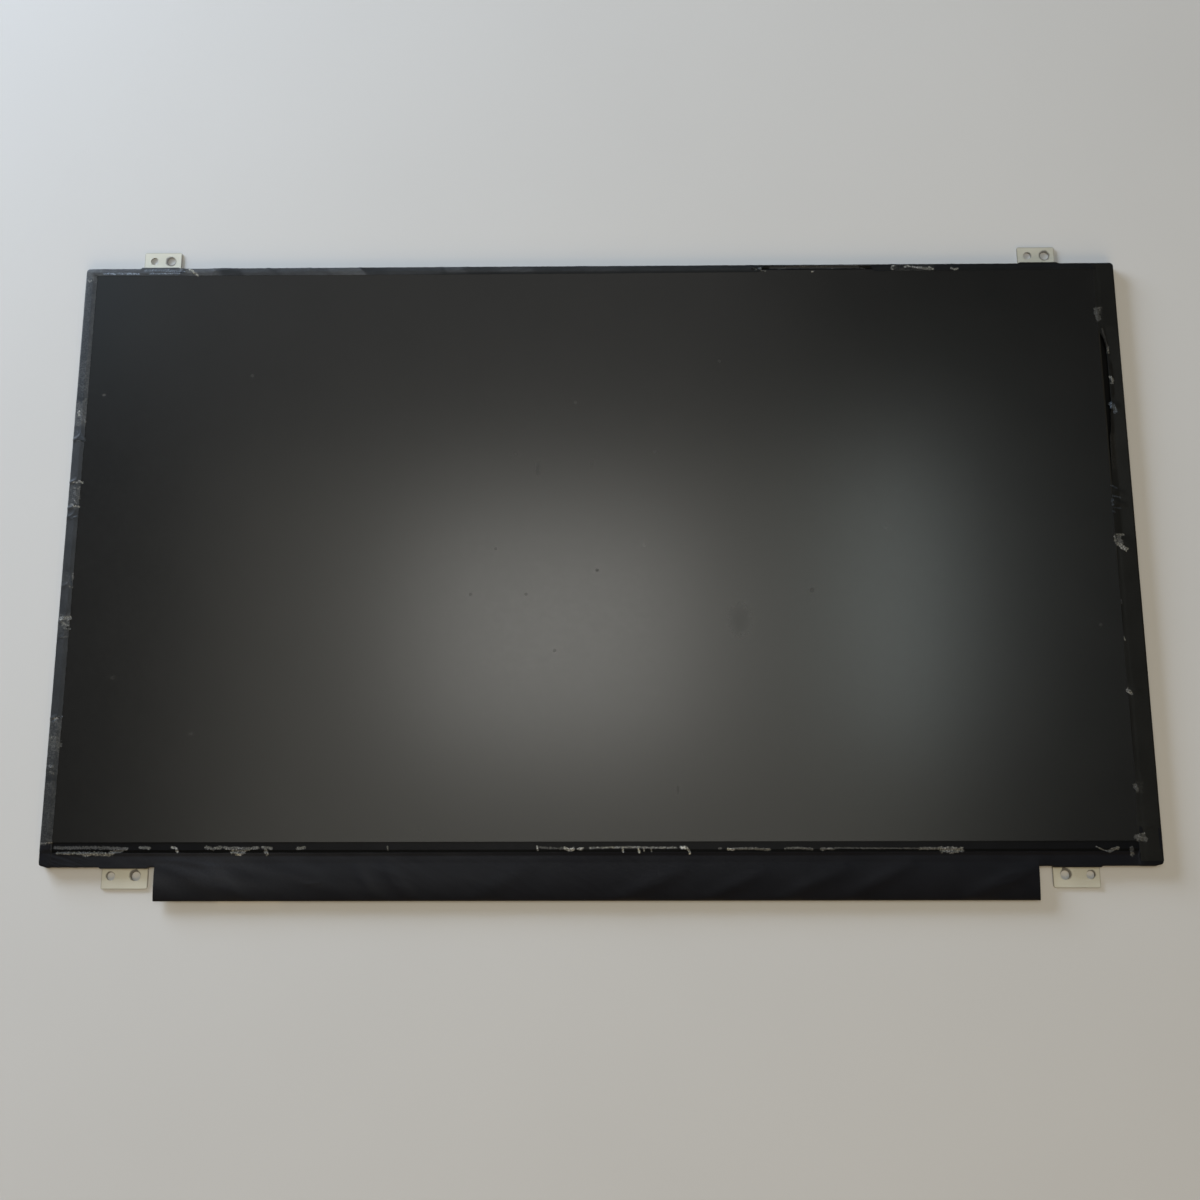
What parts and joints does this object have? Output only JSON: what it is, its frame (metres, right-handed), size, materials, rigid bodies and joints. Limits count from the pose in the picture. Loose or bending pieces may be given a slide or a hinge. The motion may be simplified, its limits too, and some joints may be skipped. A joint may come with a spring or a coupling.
{
  "type": "laptop screen panel",
  "caption": "Slim bare laptop screen panel: layered display cell and backlight in a moulded frame, a driver board flap along the lower edge and metal screw tabs above and below.",
  "frame": {"origin": "centre of the body's outline on the flat back of the rear cover", "axes": "+X to the right seen from the screen side, +Y towards the upper screw tabs, +Z out of the screen"},
  "size_m": [0.3594, 0.2234, 0.0029],
  "materials": {
    "cover_metal": "rolled sheet, satin",
    "frame_plastic": "moulded, fine matt",
    "white_film": "smooth white film",
    "clear_acrylic": "polished",
    "frosted_film": "frosted",
    "prism_film": "fine parallel ridges",
    "flex_circuit": "white flexible circuit",
    "led_body": "moulded white with yellow face",
    "edge_tape": "thin black film, worn",
    "polarizer_film": "smooth film",
    "display_glass": "thin polished glass",
    "screen_surface": "fine anti-glare",
    "board_laminate": "solder mask",
    "chip_plastic": "moulded black",
    "ferrite": "matt",
    "capacitor_ceramic": "fired",
    "resistor_ceramic": "glazed top",
    "socket_plastic": "moulded",
    "socket_metal": "tin plated",
    "contact_gold": "gold plated",
    "driver_film": "amber film",
    "bare_silicon": "ground back of a chip",
    "tab_metal": "pale plated steel, dulled"
  },
  "bodies": {
    "root": {"rear_cover": "cover_metal", "mid_frame": "frame_plastic", "reflector_sheet": "white_film", "light_guide_plate": "clear_acrylic", "lower_diffuser": "frosted_film", "lower_prism_sheet": "prism_film", "upper_prism_sheet": "prism_film", "upper_diffuser": "frosted_film", "led_strip": "flex_circuit", "leds": "led_body", "rim_tape": "edge_tape", "rear_polarizer": "polarizer_film", "array_glass": "display_glass", "filter_glass": "display_glass", "front_polarizer": "screen_surface", "source_board": "board_laminate", "memory_chip": "chip_plastic", "timing_controller": "chip_plastic", "power_chip": "chip_plastic", "led_driver_chip": "chip_plastic", "inductor": "ferrite", "board_capacitors": "capacitor_ceramic", "board_resistors": "resistor_ceramic", "led_connector": "socket_plastic", "video_socket_housing": "socket_plastic", "video_socket_shell": "socket_metal", "video_socket_contacts": "contact_gold", "driver_film_1": "driver_film", "driver_film_2": "driver_film", "driver_film_3": "driver_film", "driver_film_4": "driver_film", "driver_chip_1": "bare_silicon", "driver_chip_2": "bare_silicon", "driver_chip_3": "bare_silicon", "driver_chip_4": "bare_silicon", "left_edge_tape": "edge_tape", "right_edge_tape": "edge_tape", "top_edge_tape": "edge_tape", "board_cover_tape": "edge_tape", "bracket_top_left": "tab_metal", "bracket_top_right": "tab_metal", "bracket_bottom_left": "tab_metal", "bracket_bottom_right": "tab_metal"}
  },
  "joints": []
}
